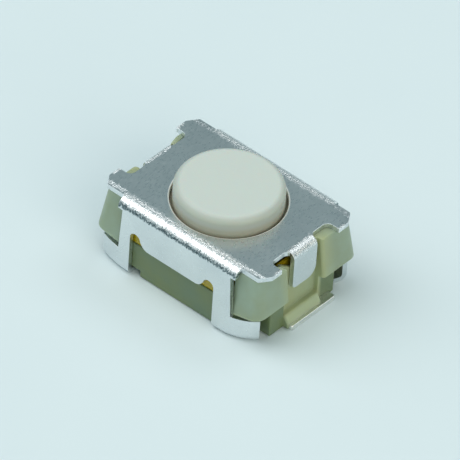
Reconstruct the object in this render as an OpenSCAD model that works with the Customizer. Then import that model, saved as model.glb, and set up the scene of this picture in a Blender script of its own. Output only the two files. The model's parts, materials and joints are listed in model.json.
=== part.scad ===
// Miniature tactile push button switch for surface mounting.
// The origin is on the board plane, under the centre of the button. +X runs along the body, +Z is up.
// The two short ends are alike when the switch is turned half round, and so are the two long sides.

/* [Cover] */
// Height of the cover's top face above the board
cover_top_z = 1.63; // [1.55:0.01:1.75]
// Thickness of the cover's sheet
sheet_t = 0.10; // [0.08:0.01:0.11]
// Distance from centre to the outer face of the long skirts
skirt_y = 1.41; // [1.39:0.01:1.50]
// Half length of the folds along the long sides
fold_half_x = 1.40; // [1.36:0.01:1.44]
// Outer radius of the folds
fold_r = 0.20; // [0.15:0.01:0.22]
// Half length of the cover over its corner ears
ear_x = 1.95; // [1.90:0.01:2.00]
// Half width of the cover over its corner ears
ear_y = 1.25; // [1.22:0.01:1.27]
// Cut-off at the outer corner of each ear, along X and along Y
ear_cut = [0.15, 0.22]; // [0.05:0.01:0.25]
// Half width of the cut-out between the two ears of a short end
ear_gap_y = 0.77; // [0.70:0.01:0.82]
// Distance from centre to the bottom of the short end's cut-outs
notch_x = 1.67; // [1.65:0.01:1.72]
// Radius in the inner corners of those cut-outs
notch_r = 0.12; // [0.05:0.01:0.16]
// Clearance round the button in the cover's hole
hole_gap = 0.07; // [0.03:0.005:0.10]

/* [Cover skirts] */
// Height of the lower edge of the skirt between its legs
band_z = 0.80; // [0.74:0.01:0.90]
// Half length of that edge
band_half_x = 0.66; // [0.60:0.01:0.70]
// Shift of the cut-outs and legs along the front skirt
skirt_shift = -0.08; // [-0.10:0.01:0.10]
// Distance from the skirt's middle to the round top of a cut-out
relief_x = 0.875; // [0.85:0.005:0.90]
// Height of the centre of that round top
relief_z = 0.93; // [0.90:0.01:1.05]
// Radius of that round top
relief_r = 0.12; // [0.08:0.01:0.13]
// Outer edge of a leg under the fold
leg_top_x = 1.29; // [1.25:0.01:1.32]
// Outer edge of a leg where it meets its foot
leg_low_x = 1.34; // [1.32:0.01:1.38]

/* [Cover feet] */
// Height of a foot
foot_h = 0.50; // [0.40:0.01:0.52]
// Distance from centre along X at which a foot starts to turn in
foot_turn_x = 1.10; // [1.00:0.01:1.20]
// Distance from centre to the end of a foot
foot_end_x = 1.80; // [1.70:0.01:1.85]
// Radius of the turn of the right front foot and of the left front foot, seen from above
foot_turn_r = [0.95, 2.00]; // [0.9:0.05:3]
// Outer radius of the bend under a foot
foot_curl_r = 0.15; // [0.12:0.01:0.18]
// Length of the flat lip under a foot
foot_lip = 0.12; // [0.05:0.01:0.14]

/* [Cover end tabs] */
// Half width of an end tab
tab_half_y = 0.30; // [0.25:0.01:0.32]
// Distance from centre to the outer face of the right-hand tab and of the left-hand tab
tab_x = [1.85, 1.78]; // [1.77:0.01:1.88]
// Outer radius of the right-hand tab's fold and of the left-hand one
tab_fold_r = [0.15, 0.11]; // [0.11:0.01:0.16]
// Height of a tab's lower edge
tab_z = 0.81; // [0.76:0.01:0.95]
// Radii of a tab's lower corners, left and right as seen from its end
tab_corner_r = [0.10, 0.22]; // [0.05:0.01:0.25]

/* [Base] */
// Half length of the base at its corner posts, at the posts' lower edge
base_x = 1.99; // [1.96:0.01:2.00]
// Half width of the base at its corner posts, at the same level
post_y = 1.37; // [1.33:0.01:1.38]
// Radius of the upright corners, at the same level
post_r = 0.20; // [0.16:0.01:0.24]
// Lean of the posts' outer faces, as a distance over the posts' height
draft = 0.12; // [0.04:0.01:0.13]
// Height of the base's underside above the board
base_bottom_z = 0.02; // [0.01:0.005:0.04]
// Clearance between the long walls and the skirts
skirt_gap = 0.01; // [0.005:0.005:0.03]
// Height of the deck that the film lies on
deck_z = 0.72; // [0.68:0.01:0.74]
// Inner faces of the corner posts, along X and along Y
post_inner = [1.29, 0.80]; // [0.78:0.01:1.34]
// Height at which the posts' outer faces start to lean in
lean_z = 0.58; // [0.50:0.01:0.70]
// Inner face of the end walls
end_wall_x = 1.64; // [1.60:0.01:1.66]
// Their inner face where they are thin, beside one post
thin_wall_x = 1.75; // [1.70:0.01:1.79]
// Height of the wall behind an end tab
tab_wall_z = 1.19; // [1.00:0.01:1.35]
// Ends of the slope from full height down to that height, along Y
dip_y = [-0.67, -0.18]; // [-0.75:0.01:0.00]
// Outer face of the base below its corner posts
low_x = 1.84; // [1.80:0.01:1.90]
// Ends of the recess in an end face, along Y
recess_y = [-0.50, 0.42]; // [-0.60:0.01:0.60]
// Clearance behind an end tab
tab_gap = 0.01; // [0.005:0.005:0.03]
// Room for a foot under a corner post: its inner end along X and its inner face along Y
undercut = [1.36, 0.87]; // [0.80:0.01:1.40]
// Underside of the posts: at that inner end, and at the outer edge of the front and of the back right-hand post
undercut_z = [0.58, 0.71, 0.66]; // [0.53:0.01:0.72]
// Slope over a terminal: its height and its lower place along X
ramp = [0.27, 1.95]; // [0.2:0.01:1.97]
// Clearance between the posts and the edges of the legs
leg_gap = 0.02; // [0.01:0.005:0.04]
// Radius of the round cavity under the film
cavity_r = 1.12; // [1.09:0.01:1.15]
// Depth of that cavity below the deck
cavity_d = 0.10; // [0.08:0.01:0.12]

/* [Contacts] */
// Thickness of the contact sheet
contact_t = 0.10; // [0.08:0.01:0.12]
// Distance from centre to the tip of a terminal
terminal_x = 2.02; // [2.01:0.01:2.15]
// Edges of a terminal along Y, seen at the right-hand end
terminal_y = [-0.46, 0.74]; // [-0.80:0.01:0.80]
// Radius of a terminal's outer corners
terminal_r = 0.06; // [0.02:0.01:0.10]
// Distance from centre to the upright part of a contact
riser_x = 1.45; // [1.35:0.01:1.50]
// Width of a contact's arm
arm_w = 0.50; // [0.30:0.01:0.60]
// Inner and outer radius of the ring under the dome's rim
ring_r = [0.82, 1.10]; // [0.80:0.01:1.12]
// Half of the ring's gap, in degrees
ring_gap = 28; // [22:1:35]
// Radius of the centre contact's raised pad
pad_r = 0.30; // [0.20:0.01:0.40]
// Depth of the centre contact's arm below the ring
arm_drop = 0.06; // [0.05:0.01:0.10]

/* [Dome and film] */
// Radius of the dome's rim
dome_r = 1.06; // [1.04:0.005:1.07]
// Height of the dome, inside
dome_h = 0.25; // [0.22:0.01:0.27]
// Thickness of the dome
dome_t = 0.05; // [0.04:0.005:0.06]
// Thickness of the film
film_t = 0.05; // [0.03:0.005:0.05]
// Gap between the film and the dome
film_lift = 0.02; // [0.015:0.005:0.03]
// Distance from the film's edge to the edge of the deck and to the posts
film_inset = 0.03; // [0.02:0.01:0.06]

/* [Button] */
// Radius of the button
button_r = 1.02; // [1.00:0.005:1.04]
// Height of the button's top face above the board
button_top_z = 2.00; // [1.90:0.01:2.10]
// Radius of the button's rounded edge
button_edge_r = 0.14; // [0.05:0.01:0.18]
// Travel of the button
travel = 0.20; // [0.15:0.01:0.22]
// Lap of the flange under the cover, past the hole's edge
flange_lap = 0.11; // [0.05:0.01:0.13]
// Thickness of the flange
flange_t = 0.31; // [0.25:0.01:0.33]
// Half length and half width of the flange's two wings
wing_key = [1.45, 0.40]; // [0.30:0.01:1.50]
// Clearance between the flange and the cover
flange_gap = 0.02; // [0.01:0.005:0.03]
// Radius of the nub that presses the dome
nub_r = 0.45; // [0.30:0.01:0.50]
// Gap between the nub and the film
nub_gap = 0.01; // [0.01:0.005:0.02]

/* [Hidden] */
$fn = 64;
eps = 0.001;
far = 5;
cover_under_z = cover_top_z - sheet_t;
skirt_in_y = skirt_y - sheet_t;
fold_y = skirt_y - fold_r;
wall_y = skirt_in_y - skirt_gap;
floor_z = deck_z - cavity_d;
hole_r = button_r + hole_gap;
flange_r = hole_r + flange_lap;
recess_x = [for (x = tab_x) x - sheet_t - tab_gap];
ring_under_z = floor_z - contact_t;
arm_z = ring_under_z - arm_drop - contact_t;
dome_apex_z = floor_z + dome_h + dome_t;
dome_ball = (dome_r * dome_r + dome_h * dome_h) / (2 * dome_h);
dome_ball_z = floor_z + dome_h - dome_ball;
film_ball = dome_ball + dome_t + film_lift;
film_bulge_r = sqrt(film_ball * film_ball - (deck_z - dome_ball_z) * (deck_z - dome_ball_z));
pad_z = floor_z + dome_h - travel;
film_apex_z = dome_apex_z + film_lift + film_t;
nub_z = film_apex_z + nub_gap;
flange_top_z = cover_under_z - flange_gap;
foot_clear = 0.03;
lip_reach = foot_curl_r + foot_lip;

// A rectangle given by its two corners
module rect(a, b) {
    translate(a) square(b - a);
}

// An upright outline, drawn in X and Z, as thick as d, with its back at y
module standing_x(y, d) {
    translate([0, y, 0]) rotate([90, 0, 0]) linear_extrude(d) children();
}

// An upright outline, drawn in Y and Z, with its inner face at x
module standing_y(x, d) {
    translate([x, 0, 0]) rotate([90, 0, 90]) linear_extrude(d) children();
}

// The same shape at both ends of the body, turned half round. $end is 0 on the right and 1 on the left.
module both_ways() {
    for ($end = [0, 1]) rotate(180 * $end) children();
}

// The cap of a hollow ball about the dome's centre: inner radius ball, thickness t, kept above z and within r
module ball_cap(ball, t, z, r) {
    rotate_extrude() intersection() {
        translate([0, dome_ball_z]) difference() {
            circle(ball + t, $fn = 128);
            circle(ball, $fn = 128);
        }
        rect([0, z], [r, far]);
    }
}

// Cover

// The flat top before its folds
module plate_outline() {
    difference() {
        polygon([for (q = [[1, 1], [-1, 1], [-1, -1], [1, -1]], p = ear_points(q)) p]);
        both_ways() {
            rect([-fold_half_x, fold_y + eps], [fold_half_x, far]);
            for (m = [0, 1]) mirror([0, m]) end_notch();
            rect([tab_x[$end] - tab_fold_r[$end] + eps, -tab_half_y - eps], [far, tab_half_y + eps]);
        }
        circle(hole_r);
    }
}

// Outer corner points of the ear in quadrant q, in order round the plate
function ear_points(q) =
    let (a = [[ear_x, 0], [ear_x, ear_y - ear_cut[1]], [ear_x - ear_cut[0], ear_y], [0, ear_y]],
        order = q[0] * q[1] > 0 ? [1, 2] : [2, 1])
    [for (i = order) [q[0] * a[i][0], q[1] * a[i][1]]];

// One cut-out between an end tab and an ear, with round inner corners
module end_notch() {
    low = tab_half_y;
    high = ear_gap_y;
    rect([notch_x + notch_r, low], [far, high]);
    rect([notch_x, low + notch_r], [far, high - notch_r]);
    for (y = [low + notch_r, high - notch_r]) translate([notch_x + notch_r, y]) circle(notch_r);
}

// The section of a fold of outer radius r, with its centre at the origin and its outer side to the right and up
module fold_section(r) {
    intersection() {
        difference() {
            circle(r);
            circle(r - sheet_t);
        }
        rect([0, 0], [r, r]);
    }
}

// The front skirt with its band and two legs, in X and Z
module skirt_outline() {
    difference() {
        polygon([
            [-leg_top_x, cover_top_z - fold_r], [leg_top_x, cover_top_z - fold_r],
            [leg_low_x, foot_h], [leg_low_x, foot_curl_r], [-leg_low_x, foot_curl_r], [-leg_low_x, foot_h]
        ]);
        translate([skirt_shift, 0]) {
            rect([-relief_x - relief_r, -far], [relief_x + relief_r, band_z]);
            for (m = [0, 1]) mirror([m, 0]) {
                translate([relief_x, relief_z]) circle(relief_r);
                rect([relief_x - relief_r, band_z - eps], [relief_x + relief_r, relief_z]);
                polygon([
                    [band_half_x, band_z], [relief_x - relief_r / 2, relief_z + relief_r * 0.8],
                    [relief_x, band_z], [relief_x, band_z - eps], [band_half_x, band_z - eps]
                ]);
            }
        }
    }
}

// The section of a foot: upright, bent under and ended in a flat lip. Distances run inwards from its face.
module foot_section() {
    c = foot_curl_r;
    rect([0, c], [sheet_t, foot_h]);
    intersection() {
        translate([c, c]) difference() {
            circle(c);
            circle(c - sheet_t);
        }
        rect([0, 0], [c, c]);
    }
    rect([c, 0], [lip_reach, sheet_t]);
}

// One front foot: straight below its leg, then turned in round the corner with radius r
module foot(r, inner_x) {
    translate([inner_x, -skirt_y, 0]) rotate([90, 0, 90]) linear_extrude(foot_turn_x - inner_x) foot_section();
    translate([foot_turn_x, r - skirt_y, 0])
        rotate(-90) rotate_extrude(angle = asin((foot_end_x - foot_turn_x) / r), $fn = 128)
            translate([r, 0]) mirror([1, 0]) foot_section();
}

// One end tab up to height top_z, with its two lower corners rounded differently
module tab_outline(top_z) {
    l = tab_corner_r[0];
    r = tab_corner_r[1];
    w = tab_half_y;
    rect([-w, tab_z + l], [0, top_z]);
    rect([0, tab_z + r], [w, top_z]);
    rect([-w + l, tab_z], [w - r, tab_z + max(l, r)]);
    translate([-w + l, tab_z + l]) circle(l);
    translate([w - r, tab_z + r]) circle(r);
}

// The tab at one end with its fold, for the right-hand end
module end_tab(x, r) {
    translate([x - r, tab_half_y, cover_top_z - r]) rotate([90, 0, 0])
        linear_extrude(2 * tab_half_y) fold_section(r);
    standing_y(x - sheet_t, sheet_t) tab_outline(cover_top_z - r);
}

module metal_cover() {
    leg_inner_x = relief_x + relief_r;
    color("silver") {
        translate([0, 0, cover_under_z]) linear_extrude(sheet_t) plate_outline();
        both_ways() {
            translate([-fold_half_x, -fold_y, cover_top_z - fold_r]) rotate([90, 0, 90])
                linear_extrude(2 * fold_half_x) mirror([1, 0]) fold_section(fold_r);
            standing_x(-skirt_in_y, sheet_t) skirt_outline();
            foot(foot_turn_r[0], leg_inner_x + skirt_shift);
            mirror([1, 0, 0]) foot(foot_turn_r[1], leg_inner_x - skirt_shift);
            end_tab(tab_x[$end], tab_fold_r[$end]);
        }
    }
}

// Base

// The upright outline of the base between two outer faces w from the middle, which lean in over the posts
module lean_outline(w) {
    polygon([
        [-w, base_bottom_z], [w, base_bottom_z], [w, lean_z], [w - draft, cover_under_z],
        [-w + draft, cover_under_z], [-w, lean_z]
    ]);
}

// The whole block, with round upright corners that lean in as its faces do
module block() {
    x = base_x - post_r;
    y = post_y - post_r;
    standing_x(y, 2 * y) lean_outline(base_x);
    standing_y(-x, 2 * x) lean_outline(post_y);
    for (sx = [-1, 1], sy = [-1, 1]) translate([sx * x, sy * y, base_bottom_z]) {
        cylinder(r = post_r, h = lean_z - base_bottom_z);
        translate([0, 0, lean_z - base_bottom_z])
            cylinder(r1 = post_r, r2 = post_r - draft, h = cover_under_z - lean_z);
    }
}

// Height of a right-hand post's underside at x, for height z at its outer edge
function under_z(x, z) = undercut_z[0] + (z - undercut_z[0]) * (x - undercut[0]) / (base_x - undercut[0]);

// The space under a right-hand post from x outwards, beyond y
module under_post(x, y, z) {
    standing_x(-y, far) polygon([[x, -far], [x, under_z(x, z)], [far, under_z(far, z)], [far, -far]]);
}

// What is taken out at the right-hand end and its two corners
module end_cuts(wall_x) {
    for (m = [0, 1]) mirror([0, m, 0]) {
        under_post(undercut[0], undercut[1], undercut_z[1 + m]);
        under_post(low_x, abs(recess_y[m]), undercut_z[1 + m]);
        translate([relief_x + relief_r - abs(skirt_shift) - foot_clear, -far, -far])
            cube([far, far - skirt_y + lip_reach + foot_clear, far + foot_curl_r]);
    }
    // The recess behind the end tab
    translate([wall_x, recess_y[0], ramp[0]]) cube([far, recess_y[1] - recess_y[0], far]);
    // The slope over the terminal
    standing_x(recess_y[1], recess_y[1] - recess_y[0]) polygon([
        [low_x, ramp[0]], [ramp[1], contact_t], [ramp[1], -far], [far, -far], [far, far], [low_x, far]
    ]);
}

module base_housing() {
    color("#9fae9c") difference() {
        block();
        inner_space();
        both_ways() {
            long_wall_cut();
            end_cuts(recess_x[$end]);
        }
        translate([0, 0, floor_z]) cylinder(r = cavity_r, h = far);
        centre_contact_solid();
        outer_contact_solid();
    }
}

// The space above the deck, between the posts and the end walls
module inner_space() {
    translate([0, 0, deck_z]) linear_extrude(far) {
        rect([-post_inner[0], -far], [post_inner[0], far]);
        both_ways() {
            rect([0, -post_inner[1]], [end_wall_x, post_inner[1]]);
            rect([0, -post_inner[1]], [thin_wall_x, recess_y[0]]);
        }
    }
    both_ways() end_wall_dip();
}

// What is taken off the top of an end wall, behind the tab and in front of it
module end_wall_dip() {
    y = tab_half_y + tab_gap;
    standing_y(0, far) polygon([
        [dip_y[0], cover_under_z], [dip_y[1], tab_wall_z], [y, tab_wall_z], [y, far], [dip_y[0], far]
    ]);
}

// The long wall stands back behind the skirt and its two legs
module long_wall_cut() {
    low = leg_low_x + leg_gap;
    top = leg_top_x + leg_gap;
    fold_z = cover_top_z - fold_r;
    standing_x(-wall_y, far) polygon([
        [-low, -far], [low, -far], [low, foot_h], [top, fold_z], [top, far],
        [-top, far], [-top, fold_z], [-low, foot_h]
    ]);
}

// Contacts

// The flat terminal at the right-hand end, with round outer corners
module terminal() {
    x = terminal_x - terminal_r;
    linear_extrude(contact_t) {
        rect([riser_x, terminal_y[0]], [x, terminal_y[1]]);
        rect([riser_x, terminal_y[0] + terminal_r], [terminal_x, terminal_y[1] - terminal_r]);
        for (y = [terminal_y[0] + terminal_r, terminal_y[1] - terminal_r]) translate([x, y]) circle(terminal_r);
    }
}

// The upright part that joins the terminal to an arm at height z
module riser(z) {
    translate([riser_x, -arm_w / 2, 0]) cube([contact_t, arm_w, z + contact_t]);
}

module arm(x, z) {
    translate([x, -arm_w / 2, z]) cube([riser_x + contact_t - x, arm_w, contact_t]);
}

module outer_contact_solid() {
    terminal();
    riser(ring_under_z);
    difference() {
        union() {
            translate([0, 0, ring_under_z]) cylinder(r = ring_r[1], h = contact_t);
            arm(ring_r[0], ring_under_z);
        }
        cylinder(r = ring_r[0], h = far);
        linear_extrude(far) polygon([[0, 0], [-far, -far * tan(ring_gap)], [-far, far * tan(ring_gap)]]);
    }
}

module centre_contact_solid() {
    rotate(180) {
        terminal();
        riser(arm_z);
        arm(0, arm_z);
    }
    translate([0, 0, arm_z]) cylinder(r = pad_r, h = pad_z - arm_z);
}

module centre_contact() {
    color("#d9d6c9") centre_contact_solid();
}

module outer_contact() {
    color("#d9d6c9") outer_contact_solid();
}

// Dome and film

module snap_dome() {
    color("#c8c9c4") ball_cap(dome_ball, dome_t, floor_z, dome_r);
}

// The film lies on the deck between the posts, and its middle is raised over the dome
module sealing_film() {
    g = film_inset;
    color("#8a7a10") {
        translate([0, 0, deck_z]) linear_extrude(film_t) difference() {
            union() {
                rect([-post_inner[0] + g, -wall_y + g], [post_inner[0] - g, wall_y - g]);
                rect([-end_wall_x + g, -post_inner[1] + g], [end_wall_x - g, post_inner[1] - g]);
            }
            circle(film_bulge_r);
        }
        ball_cap(film_ball, film_t, deck_z, far);
    }
}

// Button

module button() {
    e = button_edge_r;
    color("#dfe2d8") {
        rotate_extrude() {
            rect([0, flange_top_z - flange_t], [button_r, button_top_z - e]);
            rect([0, flange_top_z], [button_r - e, button_top_z]);
            intersection() {
                translate([button_r - e, button_top_z - e]) circle(e);
                rect([0, 0], [far, far]);
            }
            rect([0, nub_z], [nub_r, flange_top_z]);
        }
        // The flange is flat on its two long sides where it would meet the skirts' folds
        translate([0, 0, flange_top_z - flange_t]) linear_extrude(flange_t) {
            intersection() {
                circle(flange_r);
                rect([-far, -fold_y], [far, fold_y]);
            }
            rect([-wing_key[0], -wing_key[1]], [wing_key[0], wing_key[1]]);
        }
    }
}

base_housing();
centre_contact();
outer_contact();
snap_dome();
sealing_film();
button();
metal_cover();
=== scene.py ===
# %% [markdown]
# A miniature push button switch, 4 mm long, as it is soldered on circuit boards by the million. It is a good
# first subject: one folded sheet of steel, one moulded base and one round button. The CAD model gives every
# size, and this script gives each piece the soft edges, round folds and surfaces that the real one has.

# %% Load the CAD model
import json
from math import asin, pi, radians, sqrt

import bmesh
import bpy
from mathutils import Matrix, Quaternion, Vector

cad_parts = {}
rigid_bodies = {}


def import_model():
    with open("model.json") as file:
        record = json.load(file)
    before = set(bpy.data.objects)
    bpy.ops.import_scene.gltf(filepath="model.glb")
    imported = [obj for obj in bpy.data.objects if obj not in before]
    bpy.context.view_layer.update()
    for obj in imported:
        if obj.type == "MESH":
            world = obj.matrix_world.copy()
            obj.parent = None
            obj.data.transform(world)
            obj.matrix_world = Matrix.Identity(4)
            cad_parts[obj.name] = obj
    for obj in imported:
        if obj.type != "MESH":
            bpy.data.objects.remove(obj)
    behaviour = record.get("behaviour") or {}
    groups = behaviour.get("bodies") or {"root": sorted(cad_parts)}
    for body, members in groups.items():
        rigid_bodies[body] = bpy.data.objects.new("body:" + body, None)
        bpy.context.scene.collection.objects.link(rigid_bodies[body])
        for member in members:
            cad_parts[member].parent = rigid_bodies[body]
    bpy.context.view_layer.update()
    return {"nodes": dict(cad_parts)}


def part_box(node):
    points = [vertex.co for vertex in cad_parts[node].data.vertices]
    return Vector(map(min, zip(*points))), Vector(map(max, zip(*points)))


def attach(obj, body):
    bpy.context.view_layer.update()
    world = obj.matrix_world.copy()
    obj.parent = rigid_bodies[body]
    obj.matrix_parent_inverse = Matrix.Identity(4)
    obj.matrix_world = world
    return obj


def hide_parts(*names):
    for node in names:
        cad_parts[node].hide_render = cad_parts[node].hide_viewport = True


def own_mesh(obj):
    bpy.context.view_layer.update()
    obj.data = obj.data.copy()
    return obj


for extra in list(bpy.data.objects):
    bpy.data.objects.remove(extra)
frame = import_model()

# %% [markdown]
# The frame is in metres, so the switch is only 0.004 units long. Blender's tools merge and bevel by fixed
# small distances, and at that size they would eat the edges. So every piece is modelled a thousand times
# larger, where 1 unit is 1 mm, and is brought down to its real size when it is finished.

# %% Millimetres while modelling
MM = 0.001


def mm_box(node):
    """The lowest and highest corners of a CAD node, in mm."""
    low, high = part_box(node)
    return low / MM, high / MM


base_low, base_high = mm_box("base_housing")
cover_low, cover_high = mm_box("metal_cover")
button_low, button_high = mm_box("button")
film_low, film_high = mm_box("sealing_film")
dome_low, dome_high = mm_box("snap_dome")
print("Cover from", tuple(round(v, 3) for v in cover_low), "to", tuple(round(v, 3) for v in cover_high), "mm")

# %% [markdown]
# Most shapes start as a cuboid or a rod between two places, so two small functions add them. FAR lies past
# the switch on every side, for tools that cut right through.

# %% Starting shapes
FAR = 5.0


def cuboid(name, corner, opposite):
    """A cuboid between two opposite corners, in mm."""
    low, high = [Vector(ends) for ends in zip(*(sorted(pair) for pair in zip(corner, opposite)))]
    bpy.ops.object.select_all(action="DESELECT")
    bpy.ops.mesh.primitive_cube_add(size=1, location=(low + high) / 2)
    piece = bpy.context.object
    piece.name = name
    piece.scale = high - low
    bpy.ops.object.transform_apply(location=True, rotation=True, scale=True)
    return piece


def rod(name, radius, low, high, sides=128):
    """A round rod from one point to another, along Z or Y."""
    low, high = Vector(low), Vector(high)
    turn = (pi / 2, 0, 0) if abs(high.y - low.y) > 0 else (0, 0, 0)
    bpy.ops.object.select_all(action="DESELECT")
    bpy.ops.mesh.primitive_cylinder_add(
        vertices=sides, radius=radius, depth=(high - low).length, location=(low + high) / 2, rotation=turn
    )
    piece = bpy.context.object
    piece.name = name
    bpy.ops.object.transform_apply(location=True, rotation=True, scale=True)
    return piece


# %% [markdown]
# The tools of edit mode act on whatever is selected. So one function clears the selection and picks edges or
# faces by a test, which asks where they are, which way they run, or which way they look. STRAIGHT says how
# nearly a face has to look one way, and ALONG how nearly an edge has to run one way.

# %% Edit mode and picking
STRAIGHT, ALONG = 0.9, 0.7


def start_edit(piece):
    bpy.ops.object.select_all(action="DESELECT")
    piece.select_set(True)
    bpy.context.view_layer.objects.active = piece
    bpy.ops.object.mode_set(mode="EDIT")


def edit_all(piece):
    """Starts to edit a piece with all of it selected."""
    start_edit(piece)
    bpy.ops.mesh.select_all(action="SELECT")


def end_edit():
    bpy.ops.object.mode_set(mode="OBJECT")


def middle(part):
    """The middle of an edge or a face."""
    if isinstance(part, bmesh.types.BMEdge):
        return (part.verts[0].co + part.verts[1].co) / 2
    return part.calc_center_median()


def pick(kind, test):
    """Selects, in edit mode, the parts of one kind that pass a test. Returns how many."""
    bpy.ops.mesh.select_mode(type=kind)
    bpy.ops.mesh.select_all(action="DESELECT")
    data = bpy.context.object.data
    mesh = bmesh.from_edit_mesh(data)
    chosen = [part for part in {"EDGE": mesh.edges, "FACE": mesh.faces}[kind] if test(part)]
    for part in chosen:
        part.select_set(True)
    bmesh.update_edit_mesh(data)
    return len(chosen)


def near(a, b, within=0.002):
    return abs(a - b) < within


def along(edge, axis):
    """True where an edge runs along the axis, 0 for X, 1 for Y, 2 for Z."""
    span = edge.verts[1].co - edge.verts[0].co
    return abs(span[axis]) > ALONG * span.length


def round_off(piece, width, segments, test):
    """Rounds the edges of a piece that pass a test. Returns how many."""
    start_edit(piece)
    count = pick("EDGE", test)
    bpy.ops.mesh.bevel(offset=width, segments=segments)
    end_edit()
    return count


# %% [markdown]
# A press tool punches openings out of sheet, and a mould leaves hollows in plastic. A Boolean modifier does
# both: the tool piece is taken out of, or joined to, the work piece, and is then thrown away. It leaves seams
# and double points, which are merged and dissolved afterwards. Coordinates are rounded first, so that faces
# that should meet do.

# %% Punch, join, cut and turn
DECIMALS, SAME_POINT, SAME_FACE = 5, 0.001, radians(0.5)


def apply_modifier(piece, kind, **settings):
    change = piece.modifiers.new(kind.title(), kind)
    for name, value in settings.items():
        setattr(change, name, value)
    bpy.context.view_layer.objects.active = piece
    bpy.ops.object.modifier_apply(modifier=change.name)


def snap(piece):
    for vertex in piece.data.vertices:
        vertex.co = [round(value, DECIMALS) for value in vertex.co]


def combine(operation, piece, tools):
    for tool in tools:
        snap(piece)
        snap(tool)
        apply_modifier(piece, "BOOLEAN", operation=operation, object=tool, solver="EXACT")
        bpy.data.objects.remove(tool)


def punch(piece, *tools):
    combine("DIFFERENCE", piece, tools)


def unite(piece, *others):
    combine("UNION", piece, others)


def tidy_seams(piece):
    edit_all(piece)
    bpy.ops.mesh.remove_doubles(threshold=SAME_POINT)
    bpy.ops.mesh.dissolve_limited(angle_limit=SAME_FACE)
    end_edit()


def cut_off(point, normal):
    """Cuts away, in edit mode, what lies past a slanted plane, and closes the cut."""
    bpy.ops.mesh.select_all(action="SELECT")
    bpy.ops.mesh.bisect(plane_co=point, plane_no=normal, use_fill=True, clear_outer=True)


def turn_half(piece):
    """Turns a piece half round about the button's axis, which is the same as a mirror in X and one in Y."""
    edit_all(piece)
    bpy.ops.transform.resize(value=(-1, -1, 1), center_override=(0, 0, 0))
    end_edit()
    return piece


def both_ends(make):
    """What a function makes for one end or side, and the same again turned half round."""
    return [*make(), *[turn_half(piece) for piece in make()]]


def measured(piece):
    """How many faces a piece has, and from where to where it reaches."""
    low, high = [tuple(round(v, 3) for v in piece.bound_box[corner]) for corner in (0, 6)]
    return f"{len(piece.data.polygons)} faces, from {low} to {high} mm"


# %% [markdown]
# The cover starts as flat sheet. Its top is a slab with cut corners, a round hole and four notches. The
# notches have round inner corners, because a press tool with sharp corners would crack the steel.

# %% Cover: the flat top
SHEET = 0.10
TOP = cover_high.z
UNDER = TOP - SHEET
EAR_X, EAR_Y = cover_high.x, 1.25
EAR_CUT = (0.15, 0.22)
SKIRT_Y = cover_high.y
FOLD_R = 0.20
FOLD_HALF_X = 1.40
HOLE_R, RIM = 1.07, 0.025
NOTCH_X, NOTCH_R = 1.67, 0.12
NOTCH_Y = (0.30, 0.77)
TAB_X, TAB_FOLD_R = (1.85, 1.78), (0.15, 0.11)
TAB_SLIT = 0.015
TABS = tuple(zip((1, -1), TAB_X, TAB_FOLD_R))

cover = cuboid("cover", (-EAR_X, -EAR_Y, UNDER), (EAR_X, EAR_Y, TOP))
start_edit(cover)
for side in (1, -1):
    for end in (1, -1):
        cut_off((end * EAR_X, side * (EAR_Y - EAR_CUT[1]), 0), (end * EAR_CUT[1], side * EAR_CUT[0], 0))
end_edit()
for side in (1, -1):
    root_y = side * (SKIRT_Y - FOLD_R)
    punch(cover, cuboid("fold_room", (-FOLD_HALF_X, root_y, 0), (FOLD_HALF_X, side * FAR, FAR)))
    for end in (1, -1):
        notch = cuboid("notch", (end * NOTCH_X, side * NOTCH_Y[0], 0), (end * FAR, side * NOTCH_Y[1], FAR))
        round_off(notch, NOTCH_R, 8, lambda e: along(e, 2) and near(abs(middle(e).x), NOTCH_X))
        punch(cover, notch)
tab_room_y = NOTCH_Y[0] + TAB_SLIT
for end, reach, radius in TABS:
    punch(cover, cuboid("tab_room", (end * (reach - radius), -tab_room_y, 0), (end * FAR, tab_room_y, FAR)))
punch(cover, rod("hole", HOLE_R, (0, 0, 0), (0, 0, FAR)))
print("Flat top:", measured(cover))

# %% [markdown]
# A bend in sheet is a quarter round about a line, and Spin makes just that. It sweeps the picked cut face of
# the sheet round the line and leaves solid sheet behind it. Extrude then draws the face straight on. So the
# long folds and their skirts grow out of the flat top, with no seam. The fold is a little longer than the
# legs are apart, as on the real cover, where small cuts beside the legs let it bend.

# %% Cover: long folds and skirts
FOLD_Z = TOP - FOLD_R
FOOT_H = 0.50
LEG_TOP_X, LEG_LOW_X = 1.29, 1.34


def bend(angle, centre, axis, steps=12):
    """Sweeps what is selected about a line, by the right-hand rule."""
    bpy.ops.mesh.spin(steps=steps, angle=-angle, center=centre, axis=axis)


def draw_out(run):
    bpy.ops.mesh.extrude_region_move(TRANSFORM_OT_translate={"value": run})


def fold_end(face, side):
    """True for the faces at the lower end of the long fold on one side."""
    return face.normal.z < -STRAIGHT and near(middle(face).z, FOLD_Z) and side * middle(face).y > 0


start_edit(cover)
for side in (-1, 1):
    root_y = side * (SKIRT_Y - FOLD_R)
    pick("FACE", lambda f: side * f.normal.y > STRAIGHT and near(middle(f).y, root_y))
    bend(-side * pi / 2, (0, root_y, FOLD_Z), (1, 0, 0))
    for end in (-1, 1):
        pick("FACE", lambda f: fold_end(f, side))
        bpy.ops.mesh.bisect(plane_co=(end * LEG_TOP_X, 0, 0), plane_no=(1, 0, 0))
    pick("FACE", lambda f: fold_end(f, side) and near(middle(f).x, 0))
    draw_out((0, 0, FOOT_H - FOLD_Z))
    bpy.ops.transform.resize(value=(LEG_LOW_X / LEG_TOP_X, 1, 1), center_override=(0, 0, 0))
end_edit()
print("With skirts:", measured(cover))

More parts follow.
